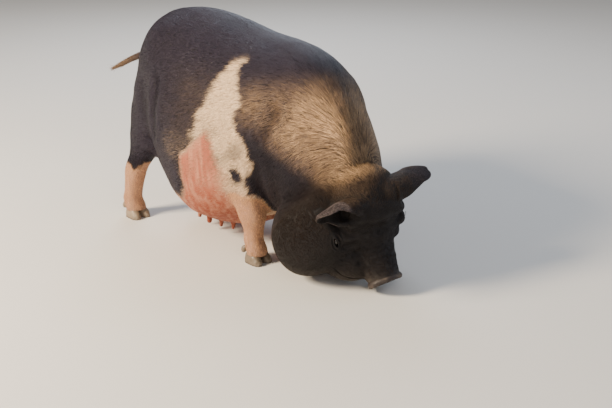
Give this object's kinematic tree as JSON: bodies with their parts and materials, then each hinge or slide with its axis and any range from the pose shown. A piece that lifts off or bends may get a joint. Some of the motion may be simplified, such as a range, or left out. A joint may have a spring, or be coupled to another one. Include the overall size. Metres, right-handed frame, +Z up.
{
  "type": "domestic pig",
  "caption": "Life-size still figure of a domestic pig, a pot-bellied cross sow standing with her snout lowered to the ground; dark bristly hide with a pale belt.",
  "frame": {"origin": "on the floor, under the middle of the bounding box", "axes": "+X forward towards the head, +Y to the animal's left, +Z up"},
  "size_m": [1.2384, 0.5218, 0.7035],
  "materials": {
    "black_hide": "dark hide under flat bristles",
    "pink_hide": "pale thinly haired hide",
    "snout_hide": "damp bare skin",
    "eye": "wet gloss",
    "horn": "worn matt horn"
  },
  "bodies": {
    "root": {"dewclaw_fore_left_inner": "horn", "dewclaw_fore_left_outer": "horn", "dewclaw_fore_right_inner": "horn", "dewclaw_fore_right_outer": "horn", "dewclaw_hind_left_inner": "horn", "dewclaw_hind_left_outer": "horn", "dewclaw_hind_right_inner": "horn", "dewclaw_hind_right_outer": "horn", "ear_left": "black_hide", "ear_right": "black_hide", "eye_left": "eye", "eye_right": "eye", "foreleg_left": "pink_hide", "foreleg_right": "pink_hide", "head": "black_hide", "hindleg_left": "pink_hide", "hindleg_right": "pink_hide", "hoof_fore_left_inner": "horn", "hoof_fore_left_outer": "horn", "hoof_fore_right_inner": "horn", "hoof_fore_right_outer": "horn", "hoof_hind_left_inner": "horn", "hoof_hind_left_outer": "horn", "hoof_hind_right_inner": "horn", "hoof_hind_right_outer": "horn", "neck": "black_hide", "snout_disc": "snout_hide", "tail": "black_hide", "torso": "black_hide"}
  },
  "joints": []
}
